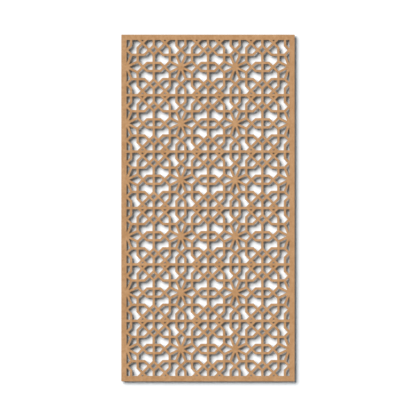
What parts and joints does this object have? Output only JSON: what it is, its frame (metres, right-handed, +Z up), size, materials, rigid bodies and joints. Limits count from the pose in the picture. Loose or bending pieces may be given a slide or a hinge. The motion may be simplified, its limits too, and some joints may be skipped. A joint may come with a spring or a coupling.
{
  "type": "mashrabiya screen",
  "caption": "Flat rectangular screen panel, pierced all over by a star-and-octagon lattice inside a plain border, to be fixed by its back or edges.",
  "frame": {"origin": "middle of the panel's back face, where the middle rail crosses the middle upright", "axes": "+X along the width, to the right as seen from the front; +Y from the front face to the back, square to the panel; +Z up along the height"},
  "size_m": [1.22, 0.018, 2.44],
  "materials": {
    "fibreboard": "raw medium-density fibreboard, sanded matt face, slightly darker and rougher cut edges"
  },
  "bodies": {
    "root": {"upper_panel": "fibreboard", "lower_panel": "fibreboard"}
  },
  "joints": []
}
